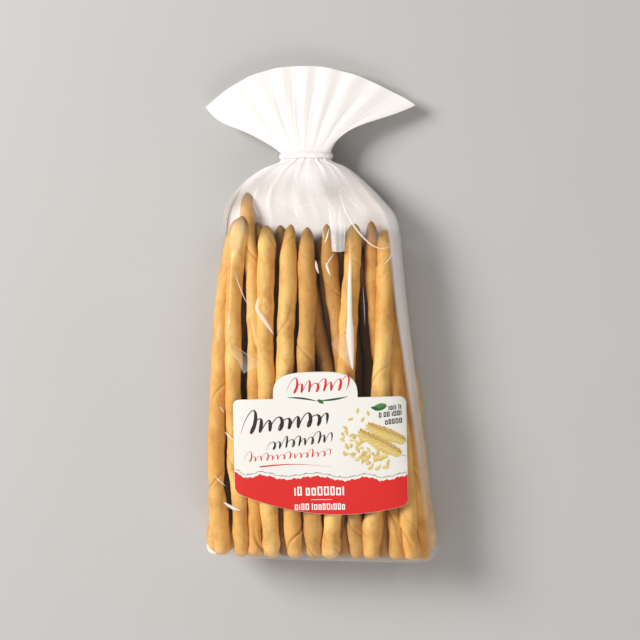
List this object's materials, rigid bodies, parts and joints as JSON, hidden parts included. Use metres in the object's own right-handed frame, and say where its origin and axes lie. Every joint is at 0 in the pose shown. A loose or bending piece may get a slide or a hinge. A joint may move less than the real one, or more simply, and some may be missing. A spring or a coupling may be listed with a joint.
{
  "type": "bag of breadsticks",
  "caption": "Clear film bag filled with long hand-rolled breadsticks, gathered into a fan above a banded neck, with a printed paper label on its front, lying on its back.",
  "frame": {"origin": "on the floor under the middle of the pack's footprint", "axes": "+X towards the pack's right side, +Y from the folded base to the gathered mouth, +Z out of the labelled front"},
  "size_m": [0.1508, 0.3144, 0.0478],
  "materials": {
    "film": "glossy clear film, milky where it is folded together",
    "breadstick": "baked bread crust, golden brown, matt",
    "label_paper": "smooth coated paper, printed in off-white and red",
    "band": "satin white strip"
  },
  "bodies": {
    "root": {"bag": "film", "label": "label_paper", "neck_band": "band"}
  },
  "joints": []
}
